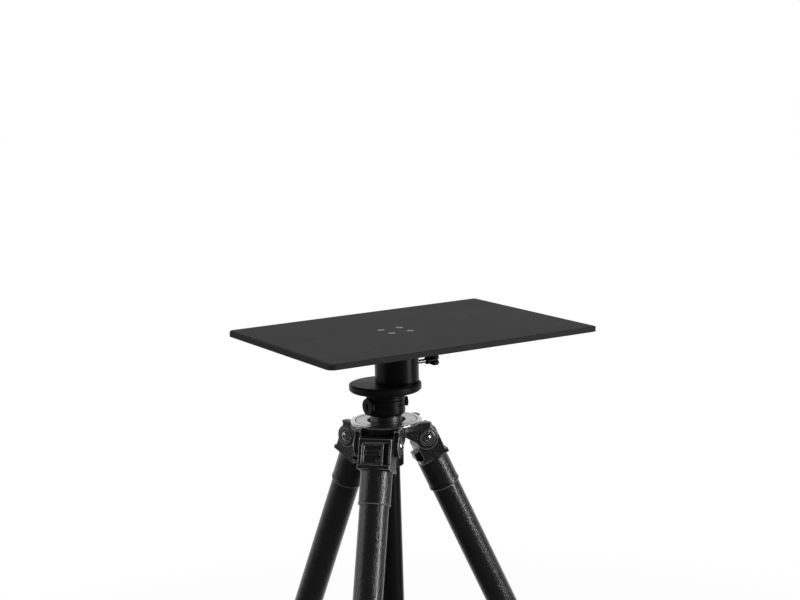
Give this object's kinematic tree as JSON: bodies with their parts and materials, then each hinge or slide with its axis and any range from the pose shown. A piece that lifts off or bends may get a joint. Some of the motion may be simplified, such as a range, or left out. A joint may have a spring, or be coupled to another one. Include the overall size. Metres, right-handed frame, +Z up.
{
  "type": "tethering table on a folding stand",
  "caption": "Flat black work table on a round boss, carried by a sliding column and a folding stand with telescoping legs, twist locks and rubber feet.",
  "frame": {"origin": "on the floor, at the middle of the bounding box of the whole stand", "axes": "+Z up; +X along the tabletop's long front edge; +Y from the table's front to its back"},
  "size_m": [0.7758, 0.7828, 1.0505],
  "materials": {
    "table_black": "fine wrinkle powder coat",
    "satin_black": "satin anodised",
    "hammered_black": "glossy hammered enamel",
    "bright_silver": "turned and brushed",
    "chrome": "polished",
    "steel": "satin",
    "black_steel": "black oxide",
    "brass": "turned",
    "knob_black": "fine grain",
    "nylon": "smooth",
    "grip_rubber": "ribbed"
  },
  "bodies": {
    "stand": {"spider": "hammered_black", "crown_ring": "bright_silver", "crown_plate": "bright_silver", "collar_neck": "bright_silver", "clamp_collar": "satin_black", "clamp_shoe": "brass", "column_sleeve": "satin_black", "sleeve_bush": "nylon", "hinge_bolts": "chrome", "hinge_nuts": "chrome"},
    "clamp_sleeve": {"clamp_sleeve": "nylon"},
    "column": {"tabletop": "table_black", "receiver_boss": "satin_black", "boss_screws": "black_steel", "thread_insert": "brass", "head_plate": "satin_black", "anti_twist_plate": "satin_black", "anti_twist_screws": "black_steel", "head_bolt": "steel", "column_fitting": "satin_black", "column_tube": "satin_black", "column_cap": "satin_black"},
    "thumbscrew": {"thumbscrew_rod": "steel", "thumbscrew_knob": "knob_black"},
    "column_lock": {"column_lock_screw": "steel", "column_lock_knob": "satin_black"},
    "drag_adjuster": {"drag_screw": "black_steel"},
    "leg_front": {"leg_head_front": "hammered_black", "upper_tube_front": "hammered_black", "upper_collet_front": "nylon"},
    "latch_front": {"angle_latch_front": "hammered_black"},
    "upper_lock_front": {"upper_lock_front": "grip_rubber"},
    "middle_section_front": {"middle_tube_front": "hammered_black", "lower_collet_front": "nylon"},
    "lower_lock_front": {"lower_lock_front": "grip_rubber"},
    "lower_section_front": {"lower_tube_front": "satin_black", "foot_front": "grip_rubber"},
    "leg_right": {"leg_head_right": "hammered_black", "upper_tube_right": "hammered_black", "upper_collet_right": "nylon"},
    "latch_right": {"angle_latch_right": "hammered_black"},
    "upper_lock_right": {"upper_lock_right": "grip_rubber"},
    "middle_section_right": {"middle_tube_right": "hammered_black", "lower_collet_right": "nylon"},
    "lower_lock_right": {"lower_lock_right": "grip_rubber"},
    "lower_section_right": {"lower_tube_right": "satin_black", "foot_right": "grip_rubber"},
    "leg_rear": {"leg_head_rear": "hammered_black", "upper_tube_rear": "hammered_black", "upper_collet_rear": "nylon"},
    "latch_rear": {"angle_latch_rear": "hammered_black"},
    "upper_lock_rear": {"upper_lock_rear": "grip_rubber"},
    "middle_section_rear": {"middle_tube_rear": "hammered_black", "lower_collet_rear": "nylon"},
    "lower_lock_rear": {"lower_lock_rear": "grip_rubber"},
    "lower_section_rear": {"lower_tube_rear": "satin_black", "foot_rear": "grip_rubber"}
  },
  "joints": [
    {"name": "table_swivel", "type": "hinge", "parent": "stand", "child": "clamp_sleeve", "pos_m": [-0.06157, -0.05404, 0.96515], "axis": [0, 0, 1], "continuous": true},
    {"name": "column_rise", "type": "slide", "parent": "clamp_sleeve", "child": "column", "axis": [0, 0, 1], "range_m": [0, 0.27]},
    {"name": "thumbscrew_turn", "type": "hinge", "parent": "column", "child": "thumbscrew", "pos_m": [-0.01587, -0.05404, 1.01055], "axis": [1, 0, 0], "range_deg": [0, 720]},
    {"name": "column_lock_turn", "type": "hinge", "parent": "stand", "child": "column_lock", "pos_m": [-0.08349, -0.05595, 0.96815], "axis": [-0.9962, -0.0872, 0], "range_deg": [0, 360]},
    {"name": "drag_screw_turn", "type": "hinge", "parent": "stand", "child": "drag_adjuster", "pos_m": [-0.0409, -0.06156, 0.96974], "axis": [0.9397, -0.342, 0], "range_deg": [0, 180]},
    {"name": "leg_fold_front", "type": "hinge", "parent": "stand", "child": "leg_front", "pos_m": [-0.08936, -0.08281, 0.92954], "axis": [0.7193, -0.6947, 0], "range_deg": [0, 24]},
    {"name": "latch_slide_front", "type": "slide", "parent": "leg_front", "child": "latch_front", "axis": [0.7193, -0.6947, 0], "range_m": [0, 0.0058]},
    {"name": "upper_lock_turn_front", "type": "hinge", "parent": "leg_front", "child": "upper_lock_front", "pos_m": [-0.21989, -0.21798, 0.50749], "axis": [-0.2825, -0.2926, -0.9135], "range_deg": [0, 90]},
    {"name": "middle_slide_front", "type": "slide", "parent": "leg_front", "child": "middle_section_front", "axis": [-0.2825, -0.2926, -0.9135], "range_m": [-0.26, 0.1]},
    {"name": "lower_lock_turn_front", "type": "hinge", "parent": "middle_section_front", "child": "lower_lock_front", "pos_m": [-0.30635, -0.30751, 0.22794], "axis": [-0.2825, -0.2926, -0.9135], "range_deg": [0, 90]},
    {"name": "lower_slide_front", "type": "slide", "parent": "middle_section_front", "child": "lower_section_front", "axis": [-0.2825, -0.2926, -0.9135], "range_m": [-0.16, 0.085]},
    {"name": "leg_fold_right", "type": "hinge", "parent": "stand", "child": "leg_right", "pos_m": [-0.02276, -0.06371, 0.92954], "axis": [0.2419, 0.9703, 0], "range_deg": [0, 24]},
    {"name": "latch_slide_right", "type": "slide", "parent": "leg_right", "child": "latch_right", "axis": [0.2419, 0.9703, 0], "range_m": [0, 0.0058]},
    {"name": "upper_lock_turn_right", "type": "hinge", "parent": "leg_right", "child": "upper_lock_right", "pos_m": [0.15957, -0.10917, 0.50749], "axis": [0.3947, -0.0984, -0.9135], "range_deg": [0, 90]},
    {"name": "middle_slide_right", "type": "slide", "parent": "leg_right", "child": "middle_section_right", "axis": [0.3947, -0.0984, -0.9135], "range_m": [-0.26, 0.1]},
    {"name": "lower_lock_turn_right", "type": "hinge", "parent": "middle_section_right", "child": "lower_lock_right", "pos_m": [0.28034, -0.13928, 0.22794], "axis": [0.3947, -0.0984, -0.9135], "range_deg": [0, 90]},
    {"name": "lower_slide_right", "type": "slide", "parent": "middle_section_right", "child": "lower_section_right", "axis": [0.3947, -0.0984, -0.9135], "range_m": [-0.16, 0.085]},
    {"name": "leg_fold_rear", "type": "hinge", "parent": "stand", "child": "leg_rear", "pos_m": [-0.07259, -0.01559, 0.92954], "axis": [-0.9613, -0.2756, 0], "range_deg": [0, 24]},
    {"name": "latch_slide_rear", "type": "slide", "parent": "leg_rear", "child": "latch_rear", "axis": [-0.9613, -0.2756, 0], "range_m": [0, 0.0058]},
    {"name": "upper_lock_turn_rear", "type": "hinge", "parent": "leg_rear", "child": "upper_lock_rear", "pos_m": [-0.12439, 0.16505, 0.50749], "axis": [-0.1121, 0.391, -0.9135], "range_deg": [0, 90]},
    {"name": "middle_slide_rear", "type": "slide", "parent": "leg_rear", "child": "middle_section_rear", "axis": [-0.1121, 0.391, -0.9135], "range_m": [-0.26, 0.1]},
    {"name": "lower_lock_turn_rear", "type": "hinge", "parent": "middle_section_rear", "child": "lower_lock_rear", "pos_m": [-0.1587, 0.28469, 0.22794], "axis": [-0.1121, 0.391, -0.9135], "range_deg": [0, 90]},
    {"name": "lower_slide_rear", "type": "slide", "parent": "middle_section_rear", "child": "lower_section_rear", "axis": [-0.1121, 0.391, -0.9135], "range_m": [-0.16, 0.085]}
  ]
}
